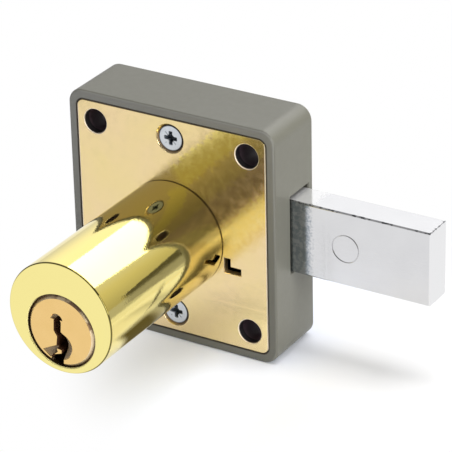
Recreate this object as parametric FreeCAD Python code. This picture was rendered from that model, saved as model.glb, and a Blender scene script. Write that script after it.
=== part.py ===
import FreeCAD
import Part

import math
import os

V = FreeCAD.Vector

# Case
case_width = 45.0
case_height = 48.4
case_depth = 14.2
case_wall = 1.8
case_back = 1.6
case_corner = 3.0
case_front_round = 0.45
case_back_round = 0.4

# Hole pattern, the origin is its centre on the plate's front plane
hole_inset = 5.9
hole_r = 2.4
hole_chamfer = 0.3
boss_r = 4.2
back_sink_r = 4.4

# Cover plate
plate_thick = 1.5
plate_gap = 0.12
plate_corner = 1.5
plate_edge = 0.15

# Cover screws
screw_shank_r = 1.5
screw_head_r = 2.5
screw_sink_r = 2.95
screw_head_depth = 0.3
screw_length = 9.0
screw_fit = 0.02
screw_point = 0.8
screw_point_r = 0.8
screw_room = 1.0
post_r = 2.6
recess_wing = 0.8
recess_reach = 1.35
recess_depth = 1.1
recess_core_r = 0.8
recess_tip_r = 0.3
recess_tip = 0.3
recess_play = 0.05
tick_start = 0.75
tick_end = 1.6
tick_width = 0.14
tick_depth = 0.12

# Cylinder
cyl_r = 11.0
cyl_z = -1.54
cyl_length = 38.3
cyl_round = 0.35
bore_chamfer = 0.25
spigot_r = 9.0
spigot_reach = 2.4
spigot_gap = 0.05
ring_thick = 0.6
ring_depth = 0.5
ring_out = 10.6
ring_play = 0.05
ring_mouth = 2.5

# Plug
plug_z = -4.23
plug_r = 7.2
plug_fit = 0.05
plug_chamfer = 0.7
plug_back = -5.0
tail_r = 4.0
tail_end = 3.1
clip_out = 5.3
clip_in = 3.4
clip_mouth = 1.6
stub_r = 1.5
stub_flat = 1.15
stub_flat_fit = 0.02
stub_end = 5.6

# Keyway walls from top to bottom and back, and the recesses round its mouth
keyway_depth = 28.3
keyway_left = [(-1.44, -2.0), (-1.57, -4.35), (-0.87, -5.44), (-1.19, -7.9), (-0.05, -8.1),
               (-0.1, -8.75), (-2.25, -9.47), (-2.55, -12.0)]
keyway_right = [(0.3, -12.0), (0.35, -9.72), (1.21, -6.74), (1.11, -5.11), (-0.03, -4.31),
                (0.12, -2.35), (-0.2, -1.75), (-1.1, -1.75)]
nick_x = -0.85
nick_z = -2.15
nick_low = -2.0
nick_r = 1.35
nick_tip_r = 0.2
nick_depth = 1.15
scoop_x = -0.46
scoop_z = -7.33
scoop_r = 2.86
scoop_tip_r = 1.2
scoop_depth = 0.9
scoop_side = [0.25, 4.0, -11.0, -4.2]
wedge_front = [(-4.4, -8.8), (-1.15, -7.2), (-0.9, -8.6), (-2.6, -10.1)]
wedge_back = [(-1.7, -8.2), (-1.15, -7.9), (-0.9, -8.6), (-1.9, -9.3)]

# Pin stacks
pin_count = 5
pin_pitch = 4.0
pin_inset = 4.8
pin_r = 1.4
chamber_r = 1.5
chamber_floor = -4.1
chamber_sink = 0.05
key_pin_top = 7.0
key_pin_lengths = [5.0, 5.9, 5.3, 6.2, 5.6]
key_pin_tip_r = 0.5
driver_bottom = 7.33
driver_length = 2.6
driver_edge = 0.15
spring_length = 2.5
spring_coil_r = 1.1
spring_wire = 0.26
spring_turns = 3

# Drive
module = 0.6
tooth_count = 10
pressure = math.radians(25)
addendum = 0.8 * module
root_gap = 0.25 * module
backlash = 0.09
tooth_bite = 0.02
pinion_end = 5.5
rack_front = 3.4

# Bolt
bolt_front = 5.95
bolt_play = 0.35
bolt_bottom = -6.82
bolt_top = 8.21
bolt_tail = -1.5
bolt_throw_out = 29.0
bolt_round = 0.35
rack_side_gap = 0.3
rack_top = 2.8
rivet_r = 0.9
rivet_x = [4.2, 16.2]
rivet_sink = 2.5
rivet_rise = 0.1
mark_x = 34.0
mark_z = 0.85
mark_r = 2.9
mark_width = 0.28
mark_depth = 0.15

# Bolt slot and guides
slot_bottom = -7.05
slot_top = 8.85
slot_front = 5.7
slot_edge = 0.25
rib_depth = 4.1
rib_height = 2.0
rib_side_gap = 1.7
rib_top_extra = 1.2
leaf_inset = 8.7
leaf_half = 5.8
leaf_thick = 0.35
leaf_side_gap = 0.4
leaf_gap = 0.075
leaf_rise = 1.55
leaf_end_gap = 0.2

# L-shaped slot in the plate
ell_left = 11.2
ell_stem = 1.4
ell_reach = 3.7
ell_low = -7.0
ell_foot = 1.45
ell_rise = 3.1

# Derived
half_w = case_width / 2
half_h = case_height / 2
hole_x = half_w - hole_inset
hole_z = half_h - hole_inset
in_w = half_w - case_wall
in_h = half_h - case_wall
floor_y = case_depth - case_back
plate_w = in_w - plate_gap
plate_h = in_h - plate_gap
bore_r = plug_r + plug_fit
tail_bore_r = tail_r + plug_fit
ring_y = plate_thick + ring_play
clip_y = spigot_reach + ring_play
pin_ys = [pin_inset - cyl_length + pin_pitch * i for i in range(pin_count)]
keyway_end = keyway_depth - cyl_length
bolt_back = floor_y - bolt_play
bolt_end = half_w + bolt_throw_out
rack_end = in_w - rack_side_gap
rib_front = floor_y - rib_depth
rib_left = rib_side_gap - in_w
leaf_x = in_w - leaf_inset
leaf_front = rib_front + leaf_side_gap
leaf_back = floor_y - leaf_side_gap
pitch_r = module * tooth_count / 2
over = 0.1
tiny = 1e-6


# Shape helpers
def block(x0, x1, y0, y1, z0, z1):
    return Part.makeBox(x1 - x0, y1 - y0, z1 - z0, V(x0, y0, z0))


def rod(x, z, r, y0, y1):
    return Part.makeCylinder(r, y1 - y0, V(x, y0, z), V(0, 1, 0))


def cone(x, z, r0, r1, y0, y1):
    return Part.makeCone(r0, r1, y1 - y0, V(x, y0, z), V(0, 1, 0))


def pillar(x, y, r, z0, z1):
    return Part.makeCylinder(r, z1 - z0, V(x, y, z0), V(0, 0, 1))


def prism(points, y0, y1):
    ring = [V(x, y0, z) for x, z in points]
    face = Part.Face(Part.makePolygon(ring + [ring[0]]))
    return face.extrude(V(0, y1 - y0, 0))


def slab(half_x, half_z, y0, y1, corner):
    body = block(-half_x, half_x, y0, y1, -half_z, half_z)
    posts = [e for e in body.Edges if abs(e.BoundBox.YLength - (y1 - y0)) < tiny]
    return body.makeFillet(corner, posts)


def outer_edges(body, y, half_x, half_z):
    found = []
    for edge in body.Edges:
        box = edge.BoundBox
        level = abs(box.YMin - y) < tiny and abs(box.YMax - y) < tiny
        reach_x = max(abs(box.XMin), abs(box.XMax)) > half_x - case_corner - over
        reach_z = max(abs(box.ZMin), abs(box.ZMax)) > half_z - case_corner - over
        if level and (reach_x or reach_z):
            found.append(edge)
    return found


def joined(first, others):
    return first.fuse(others).removeSplitter()


corners = [(sx * hole_x, sz * hole_z) for sx in (-1, 1) for sz in (-1, 1)]
screw_spots = [(0.0, hole_z), (0.0, -hole_z)]


# Case: open box with bosses, posts, guide ribs and a slot for the bolt
def make_case():
    shell = slab(half_w, half_h, 0, case_depth, case_corner)
    front = outer_edges(shell, 0, half_w, half_h)
    shell = shell.makeFillet(case_front_round, front)
    back = outer_edges(shell, case_depth, half_w, half_h)
    shell = shell.makeFillet(case_back_round, back)
    body = shell.cut(slab(in_w, in_h, -over, floor_y, plate_corner + plate_gap))
    adds = [rod(x, z, boss_r, plate_thick, floor_y + over) for x, z in corners]
    adds += [rod(x, z, post_r, plate_thick, floor_y + over) for x, z in screw_spots]
    adds.append(block(rib_left, in_w + over, rib_front, floor_y + over, slot_bottom - rib_height,
                      slot_bottom))
    rib_up = block(rib_left, in_w + over, rib_front, floor_y + over, slot_top,
                   slot_top + rib_height + rib_top_extra)
    room = leaf_half + leaf_end_gap
    pocket = block(leaf_x - room, leaf_x + room, rib_front - over, floor_y, slot_top - over, leaf_top())
    adds.append(rib_up.cut(pocket))
    body = joined(body, [a.common(shell) for a in adds])
    cuts = [rod(x, z, hole_r, 0, case_depth + over) for x, z in corners]
    sink = back_sink_r - hole_r
    sink_y = case_depth - sink
    cuts += [cone(x, z, hole_r, back_sink_r + over, sink_y, case_depth + over) for x, z in corners]
    cuts += [rod(x, z, screw_shank_r + screw_fit, 0, screw_length + screw_room) for x, z in screw_spots]
    cuts.append(block(in_w - over, half_w + over, slot_front, floor_y, slot_bottom, slot_top))
    body = body.cut(Part.makeCompound(cuts))
    mouth = []
    for edge in body.Edges:
        box = edge.BoundBox
        flat = abs(box.XMin - half_w) < tiny and abs(box.XMax - half_w) < tiny
        inside = box.ZMin > slot_bottom - tiny and box.ZMax < slot_top + tiny
        if flat and inside and box.YMin > slot_front - tiny:
            mouth.append(edge)
    return body.makeChamfer(slot_edge, mouth)


# Leaf spring: a shallow bow between the rib and the bolt's top
def leaf_top():
    return bolt_top + leaf_gap + leaf_thick + leaf_rise


def make_leaf():
    low = bolt_top + leaf_gap
    r_out = (leaf_half ** 2 + leaf_rise ** 2) / (2 * leaf_rise)
    middle = low + r_out + leaf_thick
    outer = rod(leaf_x, middle, r_out + leaf_thick, leaf_front, leaf_back)
    inner = rod(leaf_x, middle, r_out, leaf_front - over, leaf_back + over)
    keep = block(leaf_x - leaf_half, leaf_x + leaf_half, leaf_front, leaf_back, low - over, leaf_top())
    return outer.cut(inner).common(keep)


# Cover plate: let in flush, sits on the bosses and posts
def make_plate():
    body = slab(plate_w, plate_h, 0, plate_thick, plate_corner)
    body = body.makeFillet(plate_edge, outer_edges(body, 0, plate_w, plate_h))
    cuts = [rod(x, z, hole_r, -over, plate_thick + over) for x, z in corners]
    rim = hole_r + hole_chamfer
    cuts += [cone(x, z, rim + over, hole_r, -over, hole_chamfer) for x, z in corners]
    for x, z in screw_spots:
        cuts.append(rod(x, z, screw_shank_r + screw_fit, -over, plate_thick + over))
        cuts.append(cone(x, z, screw_sink_r + over, screw_shank_r, -over, screw_sink_r - screw_shank_r))
    cuts.append(rod(0, cyl_z, spigot_r + spigot_gap, -over, plate_thick + over))
    stem = ell_left + ell_stem
    foot = ell_low + ell_foot
    cuts.append(block(ell_left, stem, -over, plate_thick + over, ell_low, ell_low + ell_rise))
    cuts.append(block(ell_left, ell_left + ell_reach, -over, plate_thick + over, ell_low, foot))
    return body.cut(Part.makeCompound(cuts))


# Cover screw: countersunk head with a cross recess
def make_screw(x, z):
    rim = screw_sink_r - screw_head_r
    head = rod(x, z, screw_head_r, screw_head_depth, rim)
    taper = cone(x, z, screw_head_r, screw_shank_r, rim, screw_sink_r - screw_shank_r)
    neck = screw_length - screw_point
    shank = rod(x, z, screw_shank_r, rim, neck)
    point = cone(x, z, screw_shank_r, screw_point_r, neck, screw_length)
    body = joined(head, [taper, shank, point])
    floor = screw_head_depth + recess_depth
    wing = recess_wing / 2
    cross = [block(x - recess_reach, x + recess_reach, 0, floor, z - wing, z + wing),
             block(x - wing, x + wing, 0, floor, z - recess_reach, z + recess_reach),
             cone(x, z, recess_core_r, recess_tip_r, screw_head_depth, floor + recess_tip)]
    bound = cone(x, z, recess_reach + recess_play, recess_core_r, screw_head_depth,
                 floor + recess_tip + recess_play)
    recess = joined(cross[0], cross[1:]).common(bound)
    ticks = []
    for quarter in range(4):
        half = tick_width / 2
        tick = block(x + tick_start, x + tick_end, 0, screw_head_depth + tick_depth, z - half, z + half)
        tick.rotate(V(x, 0, z), V(0, 1, 0), 45 + 90 * quarter)
        ticks.append(tick)
    return body.cut(Part.makeCompound([recess] + ticks))


# Cylinder: barrel, spigot through the plate, eccentric bore and chambers
def make_cylinder():
    barrel = rod(0, cyl_z, cyl_r, -cyl_length, 0)
    rim = [e for e in barrel.Edges if abs(e.BoundBox.YMax + cyl_length) < tiny]
    barrel = barrel.makeFillet(cyl_round, rim)
    body = joined(barrel, [rod(0, cyl_z, spigot_r, -1, spigot_reach)])
    groove = rod(0, cyl_z, spigot_r + 1, ring_y, ring_y + ring_thick)
    groove = groove.cut(rod(0, cyl_z, spigot_r - ring_depth, ring_y - 1, ring_y + 2))
    mouth = cone(0, plug_z, bore_r + bore_chamfer + over, bore_r, -cyl_length - over,
                 bore_chamfer - cyl_length)
    cuts = [groove, mouth, rod(0, plug_z, bore_r, -cyl_length - over, plug_back),
            rod(0, plug_z, tail_bore_r, plug_back - over, spigot_reach + over)]
    cuts += [pillar(0, y, chamber_r, plug_z, cyl_z + cyl_r + over) for y in pin_ys]
    return body.cut(Part.makeCompound(cuts))


def make_chamber_plug(y):
    low = plug_z + driver_bottom + driver_length + spring_length
    body = pillar(0, y, chamber_r, low, cyl_z + cyl_r + 1)
    return body.common(rod(0, cyl_z, cyl_r - chamber_sink, y - pin_pitch, y + pin_pitch))


def open_ring(x, z, r_in, r_out, y0, y1, mouth):
    body = rod(x, z, r_out, y0, y1).cut(rod(x, z, r_in, y0 - over, y1 + over))
    return body.cut(block(x - mouth, x + mouth, y0 - over, y1 + over, z - r_out - over, z))


# Plug: keyway, mouth recesses, chambers, tail and stub with two flats
def make_mouth():
    face = -cyl_length
    top = cone(nick_x, nick_z, nick_r + over, nick_tip_r, face - over, face + nick_depth)
    wide = nick_r + 2 * over
    top = top.common(block(nick_x - wide, nick_x + wide, face - over, face + nick_depth,
                           nick_low, nick_z + wide))
    side = cone(scoop_x, scoop_z, scoop_r + over, scoop_tip_r, face - over, face + scoop_depth)
    left, right, low, high = scoop_side
    side = side.common(block(left, right, face - over, face + scoop_depth, low, high))
    front_ring = Part.makePolygon([V(x, face - over, z) for x, z in wedge_front + wedge_front[:1]])
    back_ring = Part.makePolygon([V(x, face + scoop_depth, z) for x, z in wedge_back + wedge_back[:1]])
    wedge = Part.makeLoft([front_ring, back_ring], True, True)
    return [top, side, wedge]


def make_plug():
    face = -cyl_length
    barrel = rod(0, plug_z, plug_r, face, plug_back - plug_fit)
    rim = [e for e in barrel.Edges if abs(e.BoundBox.YMax - face) < tiny]
    barrel = barrel.makeChamfer(plug_chamfer, rim)
    stub = rod(0, plug_z, stub_r, tail_end - 1, stub_end)
    flats = block(-stub_r, stub_r, tail_end - 1, stub_end, plug_z - stub_flat, plug_z + stub_flat)
    body = joined(barrel, [rod(0, plug_z, tail_r, plug_back - 1, tail_end), stub.common(flats)])
    groove = rod(0, plug_z, tail_r + 1, clip_y, clip_y + ring_thick)
    groove = groove.cut(rod(0, plug_z, clip_in, clip_y - 1, clip_y + 2))
    cuts = [groove, prism(keyway_left + keyway_right, face - over, keyway_end)]
    cuts += [pillar(0, y, chamber_r, chamber_floor, plug_z + plug_r + 1) for y in pin_ys]
    cuts += make_mouth()
    return body.cut(Part.makeCompound(cuts))


def make_key_pin(y, length):
    top = plug_z + key_pin_top
    tip = pin_r - key_pin_tip_r
    body = pillar(0, y, pin_r, top - length + tip, top)
    point = Part.makeCone(key_pin_tip_r, pin_r, tip, V(0, y, top - length), V(0, 0, 1))
    return joined(body, [point])


def make_driver(y):
    low = plug_z + driver_bottom
    body = pillar(0, y, pin_r, low, low + driver_length)
    ends = [e for e in body.Edges if e.BoundBox.ZLength < tiny]
    return body.makeChamfer(driver_edge, ends)


def make_spring(y):
    low = plug_z + driver_bottom + driver_length
    half = spring_wire / 2
    climb = spring_length - spring_wire
    path = Part.makeHelix(climb / spring_turns, climb, spring_coil_r)
    square = ((-half, -half), (half, -half), (half, half), (-half, half))
    ring = [V(spring_coil_r + dx, 0, dz) for dx, dz in square]
    section = Part.makePolygon(ring + [ring[0]])
    coil = Part.Wire(path).makePipeShell([section], True, True)
    coil.translate(V(0, y, low + half))
    return coil


# Pinion and rack teeth
def involute_angle(r):
    base = pitch_r * math.cos(pressure)
    if r <= base:
        return 0.0
    turn = math.acos(base / r)
    return math.tan(turn) - turn


def pinion_outline():
    tip = pitch_r + addendum
    root = pitch_r - addendum - root_gap
    base = pitch_r * math.cos(pressure)
    half_pitch = (math.pi * module / 2 - backlash) / 2 / pitch_r
    steps = 5
    radii = [root] + [base + (tip - base) * k / steps for k in range(steps + 1)]
    points = []
    for tooth in range(tooth_count):
        middle = math.pi / 2 + 2 * math.pi * tooth / tooth_count
        halves = [half_pitch + involute_angle(pitch_r) - involute_angle(r) for r in radii]
        side = [(r, middle - h) for r, h in zip(radii, halves)]
        side += [(r, middle + h) for r, h in reversed(list(zip(radii, halves)))]
        points += [(r * math.cos(a), plug_z + r * math.sin(a)) for r, a in side]
    return points


def make_pinion():
    body = prism(pinion_outline(), tail_end, pinion_end)
    wide = stub_r + stub_flat_fit
    edge = stub_flat + stub_flat_fit
    stub = rod(0, plug_z, wide, tail_end - over, pinion_end + over)
    flats = block(-wide, wide, tail_end - over, pinion_end + over, plug_z - edge, plug_z + edge)
    return body.cut(stub.common(flats))


def make_rack():
    pitch = math.pi * module
    line = plug_z + pitch_r
    low = line - addendum
    high = line + addendum + root_gap
    half = (pitch / 2 - backlash) / 2
    lean = math.tan(pressure)
    teeth = []
    first = int((bolt_tail - pitch) / pitch)
    last = int((rack_end + pitch) / pitch) + 1
    for k in range(first, last):
        x = pitch * (k + 0.5)
        foot = half + (low - line) * lean
        head = half + (high - line) * lean
        teeth.append(prism([(x - foot, low), (x + foot, low), (x + head, high), (x - head, high)],
                           rack_front, bolt_front))
    bar = block(bolt_tail, rack_end, rack_front, bolt_front, high - tooth_bite, rack_top)
    body = joined(bar, teeth)
    body = body.common(block(bolt_tail, rack_end, rack_front, bolt_front, low - 1, rack_top))
    cuts = [rod(x, rivet_line(), rivet_r, rack_front - over, bolt_front + over) for x in rivet_x]
    return body.cut(Part.makeCompound(cuts))


def rivet_line():
    return (plug_z + pitch_r + addendum + rack_top) / 2 + rivet_rise


def make_rivet(x):
    return rod(x, rivet_line(), rivet_r, rack_front, bolt_front + rivet_sink)


# Bolt: plain block with a ring mark on its front
def make_bolt():
    body = block(bolt_tail, bolt_end, bolt_front, bolt_back, bolt_bottom, bolt_top)
    long_edges = [e for e in body.Edges if e.BoundBox.XLength > 1]
    body = body.makeFillet(bolt_round, long_edges)
    ring = rod(mark_x, mark_z, mark_r, bolt_front - over, bolt_front + mark_depth)
    ring = ring.cut(rod(mark_x, mark_z, mark_r - mark_width, bolt_front - 1, bolt_front + 1))
    holes = [rod(x, rivet_line(), rivet_r, bolt_front - over, bolt_front + rivet_sink) for x in rivet_x]
    cuts = [ring] + holes
    return body.cut(Part.makeCompound(cuts))


pieces = {
    "case": make_case(),
    "cover_plate": make_plate(),
    "cover_screw_upper": make_screw(*screw_spots[0]),
    "cover_screw_lower": make_screw(*screw_spots[1]),
    "cylinder_body": make_cylinder(),
    "cylinder_circlip": open_ring(0, cyl_z, spigot_r - ring_depth, ring_out, ring_y, ring_y + ring_thick,
                                 ring_mouth),
    "bolt_leaf_spring": make_leaf(),
    "plug": make_plug(),
    "plug_clip": open_ring(0, plug_z, clip_in, clip_out, clip_y, clip_y + ring_thick, clip_mouth),
    "drive_pinion": make_pinion(),
    "bolt": make_bolt(),
    "bolt_rack": make_rack(),
}
for number, x in enumerate(rivet_x, 1):
    pieces["rack_rivet_%d" % number] = make_rivet(x)
for number, y in enumerate(pin_ys, 1):
    pieces["chamber_plug_%d" % number] = make_chamber_plug(y)
    pieces["key_pin_%d" % number] = make_key_pin(y, key_pin_lengths[number - 1])
    pieces["driver_pin_%d" % number] = make_driver(y)
    pieces["pin_spring_%d" % number] = make_spring(y)

os.makedirs("parts", exist_ok=True)
for name, shape in pieces.items():
    if shape.ShapeType == "Compound" and len(shape.Solids) == 1:
        shape = shape.Solids[0]
    print(name, shape.ShapeType, len(shape.Solids), shape.isValid(), round(shape.Volume, 2))
    shape.exportStep("parts/%s.step" % name)
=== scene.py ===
# %% [markdown]
# # A furniture lock in the studio
# The lock is a grey painted case with a gilt cover plate let into its front, a polished
# brass barrel standing out of the plate and a nickel-plated bolt thrown to the right.
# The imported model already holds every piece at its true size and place, in metres.
# This lesson gives each piece its finish. It draws the plate, the barrel and the pin
# springs again, with finer faces, and lights the whole lock on a pale floor.

import math

import bmesh
import bpy
from mathutils import Matrix, Vector


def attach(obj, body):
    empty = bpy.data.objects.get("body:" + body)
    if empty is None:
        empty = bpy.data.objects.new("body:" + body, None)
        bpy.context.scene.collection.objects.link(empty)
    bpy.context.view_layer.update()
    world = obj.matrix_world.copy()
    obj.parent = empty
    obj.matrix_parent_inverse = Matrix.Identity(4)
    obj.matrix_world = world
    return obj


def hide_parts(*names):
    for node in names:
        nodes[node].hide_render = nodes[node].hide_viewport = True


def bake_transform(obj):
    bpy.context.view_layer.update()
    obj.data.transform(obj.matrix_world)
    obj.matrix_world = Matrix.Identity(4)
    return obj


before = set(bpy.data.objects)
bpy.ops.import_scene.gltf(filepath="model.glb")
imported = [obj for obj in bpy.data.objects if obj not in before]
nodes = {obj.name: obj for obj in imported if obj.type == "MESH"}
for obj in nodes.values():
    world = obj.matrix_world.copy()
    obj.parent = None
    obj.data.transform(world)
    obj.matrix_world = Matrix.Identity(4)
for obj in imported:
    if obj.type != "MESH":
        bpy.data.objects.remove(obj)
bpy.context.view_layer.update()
MM = 0.001

# %% [markdown]
# ## The camera
# The picture was taken with a long lens from the upper right front. A long lens far away
# flattens the perspective, so the edges of the case stay nearly parallel. Its place could
# be set by eye, but three angles, a distance, a small shift and the lens can be measured
# from the edges in the picture. The three axes below are the camera's own right, up and
# forward directions in the lock's space.

# %% Place the camera
AZIMUTH = math.radians(31.507)
ELEVATION = math.radians(26.642)
ROLL = math.radians(-1.353)
DISTANCE = 530.573
SHIFT_RIGHT = -10.092
SHIFT_UP = -0.091
FOCAL_PIXELS, PICTURE_PIXELS = 2803.068, 452
SENSOR = 36


def camera_axes():
    turn_sin, turn_cos = math.sin(AZIMUTH), math.cos(AZIMUTH)
    tip_sin, tip_cos = math.sin(ELEVATION), math.cos(ELEVATION)
    ahead = Vector((-turn_sin * tip_cos, turn_cos * tip_cos, -tip_sin))
    right = Vector((turn_cos, turn_sin, 0))
    up = right.cross(ahead)
    across = right * math.cos(ROLL) + up * math.sin(ROLL)
    above = up * math.cos(ROLL) - right * math.sin(ROLL)
    return across, above, ahead


across, above, ahead = camera_axes()
eye = (-SHIFT_RIGHT * across - SHIFT_UP * above - DISTANCE * ahead) * MM
lens = bpy.data.cameras.new("studio_camera")
lens.sensor_width = SENSOR
lens.lens = FOCAL_PIXELS / PICTURE_PIXELS * SENSOR
lens.clip_start = 0.05
lens.clip_end = 20
camera = bpy.data.objects.new("studio_camera", lens)
turn = Matrix((across, above, -ahead)).transposed().to_4x4()
camera.matrix_world = Matrix.Translation(eye) @ turn
bpy.context.scene.collection.objects.link(camera)
bpy.context.scene.camera = camera
bpy.context.scene.view_settings.view_transform = "Standard"
print("lens %.1f mm, %.0f mm from the lock" % (lens.lens, DISTANCE))

# %% [markdown]
# ## A few short helpers
# Every finish below is a small tree of nodes. Wiring a tree by hand hides what it does,
# so a handful of helpers name the steps: add a node, join two sockets, ease a value from
# one level to another, work on two values, and mix two colours or two shaders.

# %% Helpers that add and join nodes
def new_finish(name, color, metallic, roughness):
    finish = bpy.data.materials.new(name)
    finish.use_nodes = True
    shader = finish.node_tree.nodes["Principled BSDF"]
    shader.inputs["Base Color"].default_value = (*color, 1)
    shader.inputs["Metallic"].default_value = metallic
    shader.inputs["Roughness"].default_value = roughness
    return finish, finish.node_tree, shader


def add(tree, kind, **values):
    node = tree.nodes.new(kind)
    for key, value in values.items():
        if hasattr(node, key):
            setattr(node, key, value)
        else:
            node.inputs[key].default_value = value
    return node


def join(tree, start, end):
    tree.links.new(start, end)


print("node helpers ready")

# %% Helpers that work on values
def slope(tree, value, start, end, low=0.0, high=1.0):
    step = add(tree, "ShaderNodeMapRange", interpolation_type="SMOOTHSTEP")
    join(tree, value, step.inputs["Value"])
    step.inputs["From Min"].default_value = start
    step.inputs["From Max"].default_value = end
    step.inputs["To Min"].default_value = low
    step.inputs["To Max"].default_value = high
    return step.outputs["Result"]


def steady(tree, number):
    value = add(tree, "ShaderNodeValue")
    value.outputs[0].default_value = number
    return value.outputs[0]


def both_of(tree, first, second, operation="MULTIPLY"):
    node = add(tree, "ShaderNodeMath", operation=operation)
    join(tree, first, node.inputs[0])
    join(tree, second, node.inputs[1])
    return node.outputs[0]


def axis_of(tree, where, name, fold=False):
    parts = add(tree, "ShaderNodeSeparateXYZ")
    join(tree, where, parts.inputs[0])
    if not fold:
        return parts.outputs[name]
    absolute = add(tree, "ShaderNodeMath", operation="ABSOLUTE")
    join(tree, parts.outputs[name], absolute.inputs[0])
    return absolute.outputs[0]


print("value helpers ready")

# %% Helpers for mixing
def two_tones(tree, factor, low, high):
    ramp = add(tree, "ShaderNodeMix", data_type="RGBA")
    ramp.inputs[6].default_value = (*low, 1)
    ramp.inputs[7].default_value = (*high, 1)
    join(tree, factor, ramp.inputs[0])
    return ramp.outputs[2]


def two_levels(tree, factor, low, high):
    blend = add(tree, "ShaderNodeMix", data_type="FLOAT")
    join(tree, factor, blend.inputs[0])
    join(tree, low, blend.inputs[2])
    join(tree, high, blend.inputs[3])
    return blend.outputs[0]


def two_shaders(tree, factor, first, second):
    blend = add(tree, "ShaderNodeMixShader")
    join(tree, factor, blend.inputs["Fac"])
    join(tree, first, blend.inputs[1])
    join(tree, second, blend.inputs[2])
    return blend.outputs[0]


print("mixing helpers ready")

# %% [markdown]
# ## The floor
# A catalogue picture has no horizon: the floor runs into the white behind it. Near the
# lock the floor is a plain white sheet that takes shadows. Away from it the sheet turns
# by degrees into an even white that only the camera and the reflections see, so no edge
# of the floor ever shows. A curved backdrop would do the same, but it takes more room
# and shades unevenly.

# %% Lay the floor sheet
FLOOR_Z = -24.2 * MM
FLOOR_REACH = 3.0


def floor_sheet():
    mesh = bpy.data.meshes.new("floor")
    reach = FLOOR_REACH
    corners = [(-reach, -reach), (reach, -reach), (reach, reach), (-reach, reach)]
    mesh.from_pydata([(x, y, FLOOR_Z) for x, y in corners], [], [(0, 1, 2, 3)])
    sheet = bpy.data.objects.new("floor", mesh)
    bpy.context.scene.collection.objects.link(sheet)
    return sheet


floor = floor_sheet()
print("floor at", FLOOR_Z)

# %% [markdown]
# The floor's finish mixes two things by the distance from the lock: paper that takes
# shadows, and an even white glow. The paper is tinted cooler on the left than on the
# right, a painted shade colour that offsets the warm light the brass throws there. In
# mirrors the white starts sooner, and it is dimmer at the far right and at the near left,
# so that the metal has something to show. Two sheets side by side could do this too, but
# their seam would show, while a soft mix in one finish has none.

# %% Whiten the floor away from the lock
# Painted shade colour: the paper is cooler on the left, where the brass throws warm light
# into the shade.
SHADE_COOLING_PAPER, GREY_PAPER = (0.84, 0.88, 1.0), (0.80, 0.80, 0.81)
SEEN_SHEET = ((0.029, 0.007, FLOOR_Z), 0.024, 0.054)
MIRRORED_SHEET = ((0.026, 0.007, FLOOR_Z), 0.024, 0.045)


def floor_fade(tree, spot, seen, sheet):
    middle, start, end = sheet
    away = add(tree, "ShaderNodeVectorMath", operation="DISTANCE")
    away.inputs[1].default_value = middle
    join(tree, spot, away.inputs[0])
    return both_of(tree, slope(tree, away.outputs["Value"], start, end), seen)


def white_level(tree, x, y, seen):
    right_end = slope(tree, x, 0.085, 0.11, 1.0, 0.55)
    corner = both_of(tree, slope(tree, x, -0.075, -0.11), slope(tree, y, -0.03, -0.07))
    left_end = slope(tree, corner, 0.0, 1.0, 1.0, 0.35)
    mirrored = both_of(tree, right_end, left_end)
    return both_of(tree, mirrored, seen, "MAXIMUM")


def white_floor():
    finish, tree, shader = new_finish("white_floor", (0.85, 0.875, 0.925), 0.0, 0.9)
    shader.inputs["Specular IOR Level"].default_value = 0.0
    spot = add(tree, "ShaderNodeTexCoord").outputs["Object"]
    ray = add(tree, "ShaderNodeLightPath")
    to_camera = floor_fade(tree, spot, ray.outputs["Is Camera Ray"], SEEN_SHEET)
    to_mirror = floor_fade(tree, spot, ray.outputs["Is Glossy Ray"], MIRRORED_SHEET)
    whiten = both_of(tree, to_camera, to_mirror, "MAXIMUM")
    x, y = axis_of(tree, spot, "X"), axis_of(tree, spot, "Y")
    paper = two_tones(tree, slope(tree, x, 0.012, 0.034), SHADE_COOLING_PAPER, GREY_PAPER)
    join(tree, paper, shader.inputs["Base Color"])
    white = add(tree, "ShaderNodeEmission", Color=(1, 1, 1, 1))
    level = white_level(tree, x, y, ray.outputs["Is Camera Ray"])
    join(tree, level, white.inputs["Strength"])
    blend = two_shaders(tree, whiten, shader.outputs[0], white.outputs[0])
    join(tree, blend, tree.nodes["Material Output"].inputs["Surface"])
    return finish


floor.data.materials.append(white_floor())
print("floor finish:", floor.data.materials[0].name)

# %% [markdown]
# Photographers hang dark cards where a bright metal needs a dark streak. One stands below
# the barrel and one to its right. Both are edge-on to what the plate and the bolt show,
# and only mirror rays see them. Their sides fade out, so no streak has a hard edge. Each
# card is a dim glowing sheet, and its streak is a painted reflection of the shade next to
# the lock.

# %% Fade a card's sides
def card_shader(tree, fades, glow):
    spot = add(tree, "ShaderNodeTexCoord").outputs["Object"]
    left, right, near, far = fades
    edges = (("X", 0, left), ("X", 1, 1 - right), ("Y", 0, near), ("Y", 1, 1 - far))
    dense = steady(tree, 1.0)
    for axis, start, end in edges:
        dense = both_of(tree, dense, slope(tree, axis_of(tree, spot, axis), start, end))
    dark = add(tree, "ShaderNodeEmission", Color=(*glow, 1))
    clear = add(tree, "ShaderNodeBsdfTransparent")
    return two_shaders(tree, dense, clear.outputs[0], dark.outputs[0])


print("card shader ready")

# %% Hang the dark cards
# Dim glows for the cards, painted reflections of shade: warm below the barrel, grey beside
# it.
WARM_MIRRORED_SHADE, GREY_MIRRORED_SHADE = (0.13, 0.11, 0.055), (0.13, 0.13, 0.13)


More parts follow.
